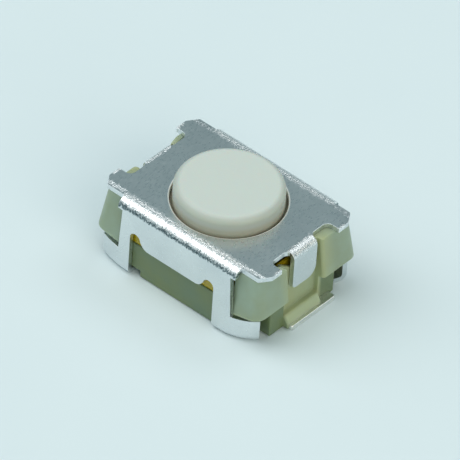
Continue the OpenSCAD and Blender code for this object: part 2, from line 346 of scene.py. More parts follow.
# %% [markdown]
# Each foot is the end of a leg, turned in round the body's corner and curled under it. It starts as a skin,
# one upright face on the sheet's outer side. The lower edge is bent under and drawn out into a flat lip, the
# outer edge follows the corner's radius about an upright line, and a Solidify modifier gives the skin the
# sheet's thickness. The window between two legs is a little off the middle, so the two feet of a side differ
# in length. Their radii also do.

# %% Cover: the feet
CURL_R = 0.15
FOOT_LIP = 0.12
TURN_X, FOOT_END_X = 1.10, 1.80
FOOT_TURN_R = (0.95, 2.00)
RELIEF_X, RELIEF_R = 0.875, 0.12
LEG_IN_X = RELIEF_X + RELIEF_R
SHIFT = -0.08
SAME_FOOT_POINT = 0.0005


def foot(inner_x, radius):
    """The front foot at the right-hand end, a little too long inwards."""
    bpy.ops.object.select_all(action="DESELECT")
    bpy.ops.mesh.primitive_plane_add(size=2)
    piece = bpy.context.object
    corners = [(x, -SKIRT_Y, z) for z in (CURL_R, FOOT_H) for x in (inner_x - SHEET, TURN_X)]
    for vertex, place in zip(piece.data.vertices, corners):
        vertex.co = place
    start_edit(piece)
    pick("EDGE", lambda e: along(e, 0) and near(middle(e).z, CURL_R))
    bend(pi / 2, (0, -SKIRT_Y + CURL_R, CURL_R), (1, 0, 0), 8)
    draw_out((0, FOOT_LIP, 0))
    pick("EDGE", lambda e: near(middle(e).x, TURN_X) and not along(e, 0))
    bend(asin((FOOT_END_X - TURN_X) / radius), (TURN_X, radius - SKIRT_Y, 0), (0, 0, 1), 14)
    bpy.ops.mesh.select_all(action="SELECT")
    bpy.ops.mesh.remove_doubles(threshold=SAME_FOOT_POINT)
    bpy.ops.mesh.normals_make_consistent(inside=False)
    upright = max(bmesh.from_edit_mesh(piece.data).faces, key=lambda f: f.calc_area())
    if upright.normal.y > 0:
        bpy.ops.mesh.flip_normals()
    end_edit()
    apply_modifier(
        piece, "SOLIDIFY", thickness=SHEET, offset=-1, use_even_offset=True, use_quality_normals=True
    )
    return piece


def front_feet():
    """The two front feet, of which the left one is mirrored to its end."""
    right, left = foot(LEG_IN_X + SHIFT, FOOT_TURN_R[0]), foot(LEG_IN_X - SHIFT, FOOT_TURN_R[1])
    edit_all(left)
    bpy.ops.transform.resize(value=(-1, 1, 1), center_override=(0, 0, 0))
    bpy.ops.mesh.normals_make_consistent(inside=False)
    end_edit()
    return [right, left]


unite(cover, *both_ends(front_feet))
print("With feet:", measured(cover))

# %% [markdown]
# Between its two legs a skirt is punched out up to a band. Beside each leg the opening runs up into a round
# relief, so that the band can spring while the legs stay stiff. The same tools trim the inner ends of the
# feet. The back skirt is the front one turned half round. The tools overlap a little, so that no film of
# steel stays between them.

# %% Cover: the openings in the skirts
BAND_Z, BAND_HALF_X = 0.80, 0.66
RELIEF_Z = 0.93
BAND_CORNER = 0.09
OVERLAP = 0.01
INSIDE_Y = -1
CROWN_RISE = 0.85 * RELIEF_R


def skirt_tools():
    """The press tools that open the front skirt."""
    tools = [cuboid("window", (SHIFT - LEG_IN_X, -FAR, -FAR), (SHIFT + LEG_IN_X, INSIDE_Y, BAND_Z))]
    for end in (1, -1):
        relief_x, inner_x = SHIFT + end * RELIEF_X, SHIFT + end * BAND_HALF_X
        crown_x, crown_z = relief_x - end * RELIEF_R / 2, RELIEF_Z + CROWN_RISE
        steepness = (-end * (crown_z - BAND_Z), 0, abs(crown_x - inner_x))
        low, left, right = BAND_Z - OVERLAP, relief_x - RELIEF_R, relief_x + RELIEF_R
        ramp = cuboid("ramp", (inner_x, -FAR, low), (relief_x, INSIDE_Y, crown_z))
        start_edit(ramp)
        cut_off((inner_x, 0, BAND_Z), steepness)
        end_edit()
        slot = cuboid("slot", (left, -FAR, low), (right, INSIDE_Y, RELIEF_Z))
        relief = rod("relief", RELIEF_R, (relief_x, -FAR, RELIEF_Z), (relief_x, INSIDE_Y, RELIEF_Z), 64)
        tools += [slot, relief, ramp]
    return tools


def band_corner(edge):
    """True for the lower corners of a skirt's band."""
    place = middle(edge)
    beside = near(abs(abs(place.x) - BAND_HALF_X), abs(SHIFT), 0.01)
    return along(edge, 1) and beside and near(place.z, BAND_Z, 0.01)


punch(cover, *both_ends(skirt_tools))
tidy_seams(cover)
print("Openings: rounded", round_off(cover, BAND_CORNER, 6, band_corner), "corners")

# %% [markdown]
# The end tabs grow out of the flat top in the same way as the skirts. Their lower corners are then rounded
# with Bevel, one corner less than the other.

# %% Cover: the end tabs
TAB_Z = 0.81
TAB_CORNER_R = (0.10, 0.22)
start_edit(cover)
for end, reach, radius in TABS:
    root_x = end * (reach - radius)
    pick("FACE", lambda f: end * f.normal.x > STRAIGHT and near(middle(f).x, root_x)
         and near(middle(f).y, 0))
    bend(end * pi / 2, (root_x, 0, TOP - radius), (0, 1, 0), 8)
    draw_out((0, 0, TAB_Z - TOP + radius))
    for side, corner in zip((-end, end), TAB_CORNER_R):
        pick("EDGE", lambda e: along(e, 0) and near(middle(e).z, TAB_Z) and side * middle(e).y > 0
             and end * middle(e).x > 0)
        bpy.ops.mesh.bevel(offset=corner, segments=8)
end_edit()
print("Cover:", measured(cover))

# %% [markdown]
# Every real edge is a little round: a punched edge by a hundredth of a millimetre, a moulded one by more.
# Those edges catch the light, and without them metal looks like paper. A bevel rounds what is sharper than 35
# degrees. The hole's rim is rounder than the rest, because the punch draws it in. The low step where a foot
# starts to turn away from its leg is spared: it is too fine for a bevel.

# %% Cover: round the edges
SHARP = radians(35)
PUNCHED_EDGE = 0.009
FOOT_STEP_X = (TURN_X - 0.05, LEG_LOW_X - 0.01)


def round_edges(piece, width, segments=2, spare=lambda edge: False):
    """Rounds every sharp edge, apart from those that are spared."""
    count = round_off(piece, width, segments, lambda e: e.calc_face_angle(0) > SHARP and not spare(e))
    edit_all(piece)
    bpy.ops.mesh.normals_make_consistent(inside=False)
    end_edit()
    print(piece.name, "has", count, "rounded edges")


def foot_step(edge):
    return near(middle(edge).z, FOOT_H) and FOOT_STEP_X[0] < abs(middle(edge).x) < FOOT_STEP_X[1]


tidy_seams(cover)
round_off(cover, RIM, 3, lambda e: near(middle(e).z, TOP) and near(middle(e).xy.length, HOLE_R))
round_edges(cover, PUNCHED_EDGE, spare=foot_step)

# %% [markdown]
# The base is moulded plastic. Its four corner posts lean in a little towards the top, so that the part leaves
# its mould, and their upright corners are well rounded. A cuboid gets a cut at the height where the lean
# starts, and only its top face is scaled in.

# %% Base: the block
LEAN_Z, DRAFT, POST_R = 0.58, 0.12, 0.20
base = cuboid("base", base_low, base_high)
edit_all(base)
bpy.ops.mesh.bisect(plane_co=(0, 0, LEAN_Z), plane_no=(0, 0, 1))
pick("FACE", lambda f: f.normal.z > STRAIGHT)
lean = (1 - DRAFT / base_high.x, 1 - DRAFT / base_high.y, 1)
bpy.ops.transform.resize(value=lean, center_override=(0, 0, base_high.z))
pick("EDGE", lambda e: along(e, 2))
bpy.ops.mesh.bevel(offset=POST_R, segments=8)
end_edit()
print("Block:", measured(base))

# %% [markdown]
# The mould's cores leave hollows. A function draws such a tool as an outline, seen from the front or from an
# end of the switch, and extrudes it across the switch.

# %% Base: drawn tools


def drawn(name, outline, near_end, far_end, seen_from="front"):
    """A solid whose outline is in X and Z, seen from the front, or in Y and Z, seen from the end."""
    low, high = sorted((near_end, far_end))
    bpy.ops.object.select_all(action="DESELECT")
    bpy.ops.mesh.primitive_circle_add(vertices=len(outline), fill_type="NGON")
    piece = bpy.context.object
    piece.name = name
    front = seen_from == "front"
    for vertex, (across, up) in zip(piece.data.vertices, outline):
        vertex.co = (across, low, up) if front else (low, across, up)
    edit_all(piece)
    draw_out((0, high - low, 0) if front else (high - low, 0, 0))
    bpy.ops.mesh.select_all(action="SELECT")
    bpy.ops.mesh.normals_make_consistent(inside=False)
    end_edit()
    return piece


# %% [markdown]
# Inside, the film lies on a deck between the four posts, and the dome stands in a round cavity in the deck.
# The wall at each end is full height beside one post, thin beside the other, and dips behind the tab. Where
# it gets thin, the step stays a little off the recess outside, so that the corner is closed. Each tool is
# used twice, the second time turned half round.

# %% Base: the space inside
DECK_Z = film_low.z
POST_IN = (1.29, 0.80)
END_WALL_X, THIN_WALL_X = 1.64, 1.75
RECESS_Y = (-0.50, 0.42)
CORNER_WALL, CLEARANCE = 0.04, 0.01
THIN_Y = RECESS_Y[0] - CORNER_WALL
TAB_WALL_Z = 1.19
DIP_Y = (-0.67, -0.18, NOTCH_Y[0] + CLEARANCE)
CAVITY_R, CAVITY_Z = 1.12, dome_low.z
PAST_MIDDLE_X = -0.1


def inner_tools():
    """The hollows of the right-hand half."""
    start, bottom, end = DIP_Y
    dip = [(start, base_high.z), (bottom, TAB_WALL_Z), (end, TAB_WALL_Z), (end, FAR), (start, FAR)]
    return [
        cuboid("room", (PAST_MIDDLE_X, -POST_IN[1], DECK_Z), (END_WALL_X, POST_IN[1], FAR)),
        cuboid("thin_wall", (0, -POST_IN[1], DECK_Z), (THIN_WALL_X, THIN_Y, FAR)),
        drawn("dip", dip, 0, FAR, "end"),
    ]


punch(base, cuboid("deck_room", (-POST_IN[0], -FAR, DECK_Z), (POST_IN[0], FAR, FAR)))
punch(base, *both_ends(inner_tools))
punch(base, rod("cavity", CAVITY_R, (0, 0, CAVITY_Z), (0, 0, FAR)))
print("Inside:", measured(base))

# %% [markdown]
# Outside, a recess at each end takes the tab, and a slope covers the root of the terminal. The posts
# overhang, and the feet turn in below them. Along the side the wall stands back behind the skirt and follows
# its legs' edges. Each kind of tool ends at its own distance from the base, because faces in one plane
# confuse a Boolean.

# %% Base: the ends and sides
TAB_ROOM = SHEET + CLEARANCE
SLOPE_Z, LOW_X, SLOPE_X = 0.27, 1.84, 1.95
UNDER_X, UNDER_Y = 1.36, 0.87
LOW_UNDER_Z, HIGH_UNDER_Z = 0.58, (0.71, 0.66)
WALL_Y = SKIRT_Y - SHEET - CLEARANCE
LEG_GAP = 0.02
FOOT_GAP = 0.03
LIP_IN_Y = SKIRT_Y - CURL_R - FOOT_LIP - FOOT_GAP
CONTACT_T = 0.10
BELOW_RECESS, BELOW_FOOT, BELOW_LEG = -1, -2, -3


def end_tools(reach):
    """The hollows of the right-hand end and the front, for a tab whose outer face is at reach."""
    wall_x, foot_x = reach - TAB_ROOM, LEG_IN_X + SHIFT - FOOT_GAP
    low, top, over = LEG_LOW_X + LEG_GAP, LEG_TOP_X + LEG_GAP, FAR + 2
    recess = [(wall_x, FAR), (wall_x, SLOPE_Z), (LOW_X, SLOPE_Z), (SLOPE_X, CONTACT_T),
              (SLOPE_X, BELOW_RECESS), (FAR, BELOW_RECESS), (FAR, FAR)]
    foot_room = [(foot_x, BELOW_FOOT), (foot_x, CURL_R), (FAR + 1, CURL_R), (FAR + 1, BELOW_FOOT)]
    legs = [(-low, BELOW_LEG), (low, BELOW_LEG), (low, FOOT_H), (top, FOLD_Z), (top, over), (-top, over),
            (-top, FOLD_Z), (-low, FOOT_H)]
    tools = [drawn("recess", recess, *RECESS_Y), drawn("leg_room", legs, -FAR, -WALL_Y)]
    for side, edge_y, high_z in zip((-1, 1), RECESS_Y, HIGH_UNDER_Z):
        rise = (high_z - LOW_UNDER_Z) / (base_high.x - UNDER_X)
        outer_z = LOW_UNDER_Z + rise * (FAR - UNDER_X)
        for x, y in ((UNDER_X, side * UNDER_Y), (LOW_X, edge_y)):
            inner_z = LOW_UNDER_Z + rise * (x - UNDER_X)
            under_post = [(x, BELOW_RECESS), (x, inner_z), (FAR, outer_z), (FAR, BELOW_RECESS)]
            tools.append(drawn("under_post", under_post, y, side * FAR))
        tools.append(drawn("foot_room", foot_room, side * LIP_IN_Y, side * (FAR + 1)))
    return tools


punch(base, *end_tools(TAB_X[0]), *[turn_half(tool) for tool in end_tools(TAB_X[1])])
tidy_seams(base)
print("With ends and sides:", measured(base))

# %% [markdown]
# A mould's own edges are rounder than a press tool's. The posts' upright edges beside the tabs are the
# roundest, and the light runs softly round them, so they get a bevel of their own first.

# %% Base: round the edges
POST_EDGE, MOULDED_EDGE = 0.07, 0.022


def beside_tab(edge):
    place = middle(edge)
    at_recess = near(abs(place.y), -RECESS_Y[0]) or near(abs(place.y), RECESS_Y[1])
    return along(edge, 2) and abs(place.x) > LOW_X and place.z > HIGH_UNDER_Z[0] and at_recess


print("Rounded", round_off(base, POST_EDGE, 4, beside_tab), "edges beside the tabs")
round_edges(base, MOULDED_EDGE, 3)

# %% [markdown]
# The contacts are moulded into the base: the plastic closes round them. So a copy of each contact's solid,
# enlarged to millimetres like everything here, is taken out of the base. The copies are a hair too tall, so
# that a contact's upper face and the cavity's floor are not at the same height, which a Boolean can't tell
# apart.

# %% Base: the seats of the contacts
TALLER = 1.005
SAME_CAD_POINT = 0.0001
CONTACTS = ("centre_contact", "outer_contact")


def enlarged(node, taller=1.0):
    """A copy of a CAD node's solid, in mm."""
    bpy.ops.object.select_all(action="DESELECT")
    source = frame["nodes"][node]
    source.select_set(True)
    bpy.context.view_layer.objects.active = source
    bpy.ops.object.duplicate()
    piece = bpy.context.object
    edit_all(piece)
    bpy.ops.transform.resize(value=(1 / MM, 1 / MM, taller / MM), center_override=(0, 0, 0))
    bpy.ops.mesh.remove_doubles(threshold=SAME_CAD_POINT)
    end_edit()
    return piece


punch(base, *[enlarged(node, TALLER) for node in CONTACTS])
print("Base:", measured(base))

# %% [markdown]
# The contacts themselves keep the CAD's form. They only get the small round edges that stamped sheet has.

# %% Contacts
STAMPED_EDGE = 0.02
contacts = [enlarged(node) for node in CONTACTS]
for contact, node in zip(contacts, CONTACTS):
    contact.name = "stamped_" + node
    tidy_seams(contact)
    round_edges(contact, STAMPED_EDGE, 3)

# %% [markdown]
# The button is turned in shape: a rod whose upper rim is rounded with Bevel. Under the cover it widens into a
# flange with two wings, which keep it in the switch, and a nub that presses the dome.

# %% Button
BUTTON_R, BUTTON_EDGE = 1.02, 0.14
FLANGE_R, FLANGE_TOP, FLANGE_T = 1.20, UNDER - 0.02, 0.31
FLANGE_LOW = FLANGE_TOP - FLANGE_T
NUB_R = 0.45
WING = (1.45, 0.40)
button = rod("button_cap", BUTTON_R, (0, 0, FLANGE_LOW), (0, 0, button_high.z), 192)
round_off(button, BUTTON_EDGE, 12, lambda e: near(middle(e).z, button_high.z))
unite(
    button,
    rod("flange", FLANGE_R, (0, 0, FLANGE_LOW), (0, 0, FLANGE_TOP), 96),
    cuboid("wings", (-WING[0], -WING[1], FLANGE_LOW), (WING[0], WING[1], FLANGE_TOP)),
    rod("nub", NUB_R, (0, 0, button_low.z), (0, 0, FLANGE_TOP), 64),
)
print("Button:", measured(button))

# %% [markdown]
# The dome and the film over it are thin caps of two balls about one centre. A disc is inset ring by ring, and
# each ring is raised to the ball's surface. Solidify makes the skin thick, and the dome's rim is trimmed
# upright.

# %% Dome and the film's cap
DOME_H = 0.25
DOME_T = FILM_T = 0.05
FILM_LIFT = 0.02
TRIM = 0.2
dome_rim = dome_high.x
dome_ball = (dome_rim**2 + DOME_H**2) / (2 * DOME_H)
ball_z = dome_low.z + DOME_H - dome_ball
film_ball = dome_ball + DOME_T + FILM_LIFT
film_rim = sqrt(film_ball**2 - (DECK_Z - ball_z) ** 2)


def cap(name, rim, ball, thickness, rings=8):
    """A thin cap of a ball, whose inner face starts at the radius rim."""
    bpy.ops.object.select_all(action="DESELECT")
    height = ball_z + sqrt(ball**2 - rim**2)
    bpy.ops.mesh.primitive_circle_add(vertices=96, radius=rim, fill_type="NGON", location=(0, 0, height))
    piece = bpy.context.object
    piece.name = name
    bpy.ops.object.transform_apply(location=True, rotation=True, scale=True)
    edit_all(piece)
    step = rim / (rings + 0.5)
    for ring in range(1, rings + 1):
        bpy.ops.mesh.inset(thickness=step)
        level = ball_z + sqrt(ball**2 - (rim - ring * step) ** 2)
        bpy.ops.transform.translate(value=(0, 0, level - height))
        height = level
    end_edit()
    apply_modifier(piece, "SOLIDIFY", thickness=thickness, offset=1, use_even_offset=True)
    return piece


dome = cap("dome_spring", dome_rim, dome_ball, DOME_T)
trim = rod("trim", dome_rim, (0, 0, dome_low.z - TRIM), (0, 0, dome_high.z + TRIM), 96)
combine("INTERSECT", dome, [trim])
film = cap("film_skin", film_rim, film_ball, FILM_T)
print("Dome:", measured(dome))
print("Film's cap:", measured(film))

# %% [markdown]
# The film is cut a little large, so its edges stand up against the walls and show amber in the cover's
# notches and reliefs. Only the cap gives way under the button, so the flat edge round it is a piece of its
# own, which stays as it is.

# %% The film's edge
FILM_GAP, FILM_CORNER = 0.03, 0.12
FILM_TURN_Y, FILM_TURN_Z = (0.58, 0.28), 1.32
FILM_SIDE_X, FILM_SIDE_Z = 1.18, 1.10
flat_z = DECK_Z + FILM_T
side_x, end_x, end_y = POST_IN[0] - FILM_GAP, END_WALL_X - FILM_GAP, POST_IN[1] - FILM_GAP


def turned_up(corner, opposite, axis):
    """An edge of the film that stands up along an axis, with round upper corners."""
    piece = cuboid("turned_up", corner, opposite)
    round_off(piece, FILM_CORNER, 6, lambda e: along(e, axis) and near(middle(e).z, opposite[2]))
    return piece


def turned_up_edges():
    """The edges that stand up at the right-hand end and at the front."""
    return [
        turned_up((end_x - FILM_T, -FILM_TURN_Y[0], DECK_Z), (end_x, FILM_TURN_Y[1], FILM_TURN_Z), 0),
        turned_up((-FILM_SIDE_X, film_low.y, DECK_Z), (FILM_SIDE_X, film_low.y + FILM_T, FILM_SIDE_Z), 1),
    ]


film_edge = cuboid("film_edge", (-side_x, film_low.y, DECK_Z), (side_x, film_high.y, flat_z))
film_ends = cuboid("film_ends", (-end_x, -end_y, DECK_Z), (end_x, end_y, flat_z))
unite(film_edge, film_ends, *both_ends(turned_up_edges))
punch(film_edge, rod("film_hole", film_rim, (0, 0, 0), (0, 0, FAR), 96))
print("Film's edge:", measured(film_edge))

# %% [markdown]
# Colours are written as on a screen, two hex digits each for red, green and blue. Blender's shaders count in
# light, so one function turns them round. Another adds any node with its settings and inputs, where an input
# is a value or another node's output.

# %% Colours and nodes


def colour(code):
    """A screen colour such as "8fa08f" as Blender's red, green, blue and alpha."""
    parts = [int(code[i:i + 2], 16) / 255 for i in (0, 2, 4)]
    return tuple(((c + 0.055) / 1.055) ** 2.4 if c > 0.04045 else c / 12.92 for c in parts) + (1.0,)


def feed(tree, node, inputs):
    """Gives a node its inputs, each a value or another node's output."""
    for name, value in inputs.items():
        if isinstance(value, bpy.types.NodeSocket):
            tree.links.new(value, node.inputs[name])
        else:
            node.inputs[name].default_value = value


def add(tree, kind, inputs, output=0, stops=(), **settings):
    """Adds a node with its settings, its inputs and a ramp's stops of place and colour. Returns an output."""
    node = tree.nodes.new("ShaderNode" + kind)
    for name, value in settings.items():
        setattr(node, name, value)
    for _ in stops[2:]:
        node.color_ramp.elements.new(0.5)
    for number, (at, code) in enumerate(stops):
        node.color_ramp.elements[number].position = at
        node.color_ramp.elements[number].color = colour(code)
    feed(tree, node, inputs)
    return node.outputs[output]


def new_finish(name, constants):
    """A material with one Principled shader. Returns it, its tree, its shader and the place on the piece."""
    material = bpy.data.materials.new(name)
    material.use_nodes = True
    tree = material.node_tree
    shader = tree.nodes["Principled BSDF"]
    feed(tree, shader, constants)
    return material, tree, shader, add(tree, "TexCoord", {}, "Object")


print("A mid grey, 808080, is", round(colour("808080")[0], 3), "in light")

# %% [markdown]
# Real surfaces are uneven, in clouds, flecks or grain, and each has a real size. Coats lie over one another,
# each in its own area, as a fold's bright grain does on the sheet. A Mix node keeps its sockets for numbers
# and those for colours in one list, so they are reached by their number in it.

# %% Patterns and coats


def blots(tree, place, size_mm, detail=3.0, roughness=0.5, stretch=(1, 1, 1)):
    """A cloudy pattern with blots about size_mm wide, drawn out along an axis where stretch is below 1."""
    scale = tuple(v / (size_mm * MM) for v in stretch)
    at = add(tree, "Mapping", {"Vector": place, "Scale": scale})
    return add(tree, "TexNoise", {"Vector": at, "Scale": 1.0, "Detail": detail, "Roughness": roughness})


def coated(tree, ground, *coats, data_type="RGBA"):
    """A ground with coats over it, each a mask and what lies there. All are colours, or FLOAT numbers."""
    under, over, result = (6, 7, 2) if data_type == "RGBA" else (2, 3, 0)
    for mask, coat in coats:
        ground = add(tree, "Mix", {0: mask, under: ground, over: coat}, result, data_type=data_type)
    return ground


# %% [markdown]
# Some marks belong to one place on a piece, such as a fold. Object coordinates give the place, and a little
# arithmetic turns it into a mask, which is 1 there and 0 elsewhere. The switch is nearly the same on both
# sides of its middle, so a mask goes by the distance from the middle. Each pair of numbers below is the
# distance in mm where a mask is 0, and the one where it is 1.

# %% Masks by place


def by_place(tree, place, axis, none_at, full_at, ragged=0.0):
    """A mask by the distance from the middle along an axis. A pattern may make its edge ragged."""
    across = add(tree, "SeparateXYZ", {"Vector": place}, axis)
    distance = add(tree, "Math", {0: across}, operation="ABSOLUTE")
    moved = add(tree, "Math", {0: distance, 1: ragged}, operation="ADD")
    return add(tree, "MapRange", {"Value": moved, "From Min": none_at * MM, "From Max": full_at * MM})


def overlap(tree, first, *others):
    """A mask that is 1 only where all of these are."""
    for other in others:
        first = add(tree, "Math", {0: first, 1: other}, operation="MULTIPLY")
    return first


# %% [markdown]
# The cover is rolled stainless steel, which is bright where it mirrors something bright and grey where it
# doesn't. On the long folds, the tabs' folds and the ears' tips its colour is painted lighter, a painted
# highlight. Low on each long fold a dark line is painted, a painted dark reflection. The hole's rim is
# painted paler, a painted highlight, and is more matt. None of these painted areas has a straight edge, so
# fine blots make their edges ragged.

# %% Rolled steel: its areas
RAGGED = 0.04 * MM
LONG_FOLD_Y, LONG_FOLD_X = (1.14, 1.18), (1.46, 1.40)
END_FOLD_X, END_FOLD_Y = (1.66, 1.70), (0.34, 0.31)
EAR_TIP_X, EAR_TIP_Y = (1.90, 1.94), (0.98, 0.92)
UPPER_Z, DARK_LINE_LOW_Z, DARK_LINE_HIGH_Z = (1.50, 1.53), (1.475, 1.495), (1.55, 1.53)
RIM_OUT = HOLE_R + RIM
RIM_R = (RIM_OUT + 0.01, RIM_OUT)
steel, tree, shader, place = new_finish("rolled_stainless_steel", {"Metallic": 1.0})
fine = blots(tree, place, 0.05, 3.0, 0.7, (1, 0.6, 0.6))
ragged = add(tree, "MapRange", {
    "Value": fine, "From Min": 0.3, "From Max": 0.7, "To Min": -RAGGED, "To Max": RAGGED,
})
fold_y, fold_x, tip_x = [by_place(tree, place, axis, *pair, ragged) for axis, pair in (
    ("Y", LONG_FOLD_Y), ("X", END_FOLD_X), ("X", EAR_TIP_X)
)]
long_fold = overlap(tree, fold_y, by_place(tree, place, "X", *LONG_FOLD_X))
end_fold = overlap(tree, fold_x, by_place(tree, place, "Y", *END_FOLD_Y))
ear_tip = overlap(tree, tip_x, by_place(tree, place, "Y", *EAR_TIP_Y))
either_fold = add(tree, "Math", {0: long_fold, 1: end_fold}, operation="MAXIMUM")
folds_and_ear_tips = add(tree, "Math", {0: either_fold, 1: ear_tip}, operation="MAXIMUM")
upper, over_line, under_line = [
    by_place(tree, place, "Z", *pair, ragged) for pair in (UPPER_Z, DARK_LINE_LOW_Z, DARK_LINE_HIGH_Z)
]
folds = overlap(tree, folds_and_ear_tips, upper)
# Painted dark reflection: a dark line low on each long fold
painted_dark_line_area = overlap(tree, over_line, under_line, long_fold)
# Where the painted highlight goes: the folds and the ears' tips, less the painted dark line
bright = add(tree, "Math", {0: folds, 1: painted_dark_line_area}, operation="SUBTRACT")
from_axis = add(tree, "VectorMath", {0: place, 1: (1, 1, 0)}, operation="MULTIPLY")
radius = add(tree, "VectorMath", {0: from_axis}, "Value", operation="LENGTH")
rim = add(tree, "MapRange", {"Value": radius, "From Min": RIM_R[0] * MM, "From Max": RIM_R[1] * MM})
print("Steel's areas take", len(tree.nodes), "nodes")

# %% [markdown]
# Rolling leaves fine short lines, and on the folds the grain is open and glitters. So a faint grain is drawn
# all over, and an open one on the folds, drawn out across each fold. The open grain also patterns the painted
# highlight on the folds and the ears' tips, and the faint grain patterns the painted dark line. Real grain is
# about a hundredth of a millimetre wide. It is drawn three times as coarse on the sheet and nearly twice on
# the folds, so that it shows.

# %% Rolled steel: its grain and colours
FINE_GRAIN, OPEN_GRAIN = 0.03, 0.018
cloud = blots(tree, place, 0.9, 2.0)
grain = blots(tree, place, FINE_GRAIN, 3.0, 0.6, (1, 0.4, 1))
across_long = blots(tree, place, OPEN_GRAIN, 2.0, 0.6, (1, 0.3, 0.3))
across_end = blots(tree, place, OPEN_GRAIN, 2.0, 0.6, (0.3, 1, 0.3))
open_grain = coated(tree, across_end, (long_fold, across_long), data_type="FLOAT")
sheet = add(tree, "ValToRGB", {"Fac": cloud}, stops=((0.3, "dadfe1"), (0.7, "e6eaeb")))
# Painted dark reflection: the dark line's grained colour
painted_dark_reflection = add(tree, "ValToRGB", {"Fac": grain}, stops=((0.35, "46555a"), (0.6, "8c9ca0")))
# Painted highlight: near-white colour on the folds and the ears' tips
painted_highlight = add(tree, "ValToRGB", {"Fac": open_grain}, stops=((0.35, "e9eced"), (0.6, "ffffff")))
# Painted highlight: the hole's rim is painted paler
painted_rim_highlight = add(tree, "ValToRGB", {"Fac": cloud}, stops=((0.3, "f9f8f3"), (0.7, "fdfcf8")))
shade = coated(tree, sheet, (painted_dark_line_area, painted_dark_reflection), (bright, painted_highlight), (rim, painted_rim_highlight))
print("Grain", FINE_GRAIN, "mm on the sheet and", OPEN_GRAIN, "mm on the folds")

# %% [markdown]
# The open grain's glitter is a spread of rough and smooth, more than a change of height. The sheet also
# starts to round a little before the long folds, which a soft shoulder in the bump gives.

# %% Rolled steel: how rough it is
SHOULDER_Y, SHOULDER_DROP = (1.13, 1.21), -0.8
STEEL_BUMP = 0.016
RIM_ROUGHNESS = 0.62
satin = add(tree, "MapRange", {
    "Value": grain, "From Min": 0.3, "From Max": 0.7, "To Min": 0.26, "To Max": 0.35,
})
glitter = add(tree, "MapRange", {
    "Value": open_grain, "From Min": 0.35, "From Max": 0.65, "To Min": 0.18, "To Max": 0.42,
})
rough = coated(tree, satin, (folds, glitter), (rim, RIM_ROUGHNESS), data_type="FLOAT")
shoulder = by_place(tree, place, "Y", *SHOULDER_Y, ragged)
height = 0.0
for pattern, share, area in (
    (grain, 0.012, 1.0), (shoulder, SHOULDER_DROP, upper), (cloud, 0.3, 1.0), (open_grain, 0.85, folds)
):
    there = add(tree, "Math", {0: area, 1: share}, operation="MULTIPLY")
    height = add(tree, "Math", {0: pattern, 1: there, 2: height}, operation="MULTIPLY_ADD")
relief = add(tree, "Bump", {"Height": height, "Distance": STEEL_BUMP * MM})
feed(tree, shader, {"Base Color": shade, "Roughness": rough, "Normal": relief})
print(steel.name, "has", len(tree.nodes), "nodes")

# %% [markdown]
# The base is a heat-proof nylon without pigment. It is a little see-through, so light that enters it comes
# out again nearby, warm and greenish. Subsurface scattering does that. Where the amber film lies behind a
# wall, the wall is painted yellower and lighter: painted light through the film. Over the terminals the slope
# is painted lighter: painted light from above. Beside the cavity and under the posts the nylon is painted a
# darker green: painted shade.

# %% Unpigmented nylon
AMBER_LIT_Y = (0.75, 0.45)
SLOPE_MASK_X, SLOPE_MASK_Z = (1.84, 1.87), (0.29, 0.25)
CAVITY_MASK_X = (1.40, 1.25)
UNDER_MASK_Z, UNDER_MASK_Y = (0.64, 0.56), (0.44, 0.52)
nylon, tree, shader, place = new_finish("moulded_heatproof_nylon", {
    "IOR": 1.53, "Subsurface Weight": 0.35, "Subsurface Scale": 0.3 * MM,
    "Subsurface Radius": (1.0, 0.9, 0.6),
})
cloud, fleck = blots(tree, place, 0.5), blots(tree, place, 0.03, 2.0)
# The first is the nylon's own colour, the second and third are painted light, the last is painted shade
thick, amber_lit, sky_lit, painted_shade_green = [
    add(tree, "ValToRGB", {"Fac": cloud}, stops=((0.3, warm), (0.7, cool)))
    for warm, cool in (("909c80", "96a894"), ("a6aa7e", "a3ae8a"), ("b6bf97", "b2bf9f"), ("727f54", "687b60"))
]
beside_film, beside_cavity, low_end, low_slope, below, outside = [
    by_place(tree, place, axis, *pair) for axis, pair in (
        ("Y", AMBER_LIT_Y), ("X", CAVITY_MASK_X), ("X", SLOPE_MASK_X), ("Z", SLOPE_MASK_Z),
        ("Z", UNDER_MASK_Z), ("Y", UNDER_MASK_Y),
    )
]
slope = overlap(tree, low_end, low_slope)
# Painted shade: darker green beside the cavity and under the posts
painted_shade_area = add(tree, "Math", {0: beside_cavity, 1: overlap(tree, below, outside)}, operation="MAXIMUM")
shade = coated(tree, thick, (beside_film, amber_lit), (slope, sky_lit), (painted_shade_area, painted_shade_green))
feed(tree, shader, {
    "Base Color": shade,
    "Roughness": add(tree, "MapRange", {"Value": fleck, "To Min": 0.34, "To Max": 0.5}),
    "Normal": add(tree, "Bump", {"Height": fleck, "Distance": 0.003 * MM, "Strength": 0.6}),
})
print(nylon.name, "has", len(tree.nodes), "nodes")

# %% [markdown]
# The button is ivory plastic with a fine spark-eroded skin from its mould, about 0.03 mm from spark to spark.
# Its colour goes by height: painted shade makes it darker and browner low on its side, where it slides in the
# hole, and a painted highlight makes it lighter towards its rim and top.

# %% Ivory button plastic
IVORY_Z = (1.5, 2.0)
